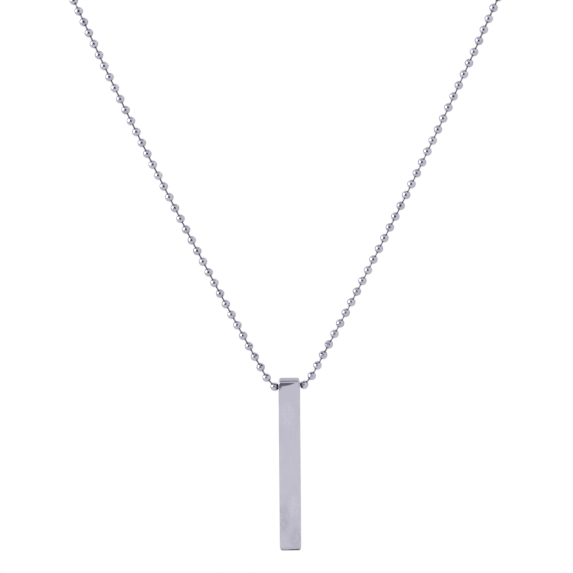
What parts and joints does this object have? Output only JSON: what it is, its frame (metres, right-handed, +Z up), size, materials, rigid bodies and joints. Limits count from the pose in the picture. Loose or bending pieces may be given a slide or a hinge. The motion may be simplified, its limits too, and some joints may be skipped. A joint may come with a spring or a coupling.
{
  "type": "bar pendant",
  "caption": "Necklace with a polished square steel bar hanging upright from a fine ball chain that passes through a bore near its top.",
  "frame": {"origin": "middle of the connector at the nape, where the necklace is held", "axes": "+X to the right as seen from the front, -Y towards the front, +Z up with the bar hanging down"},
  "size_m": [0.1242, 0.0877, 0.198],
  "materials": {
    "bar_steel": "polished stainless steel",
    "ball_steel": "tumbled bright stainless steel",
    "link_steel": "drawn stainless steel wire",
    "connector_steel": "bright stainless steel sheet"
  },
  "bodies": {
    "chain": {"chain_balls": "ball_steel", "chain_links": "link_steel", "connector": "connector_steel"},
    "bar": {"bar": "bar_steel"}
  },
  "joints": [
    {"name": "bar_swing", "type": "hinge", "parent": "chain", "child": "bar", "pos_m": [0, -0.08372, -0.15831], "axis": [1, 0, 0], "range_deg": [-90, 90]}
  ]
}
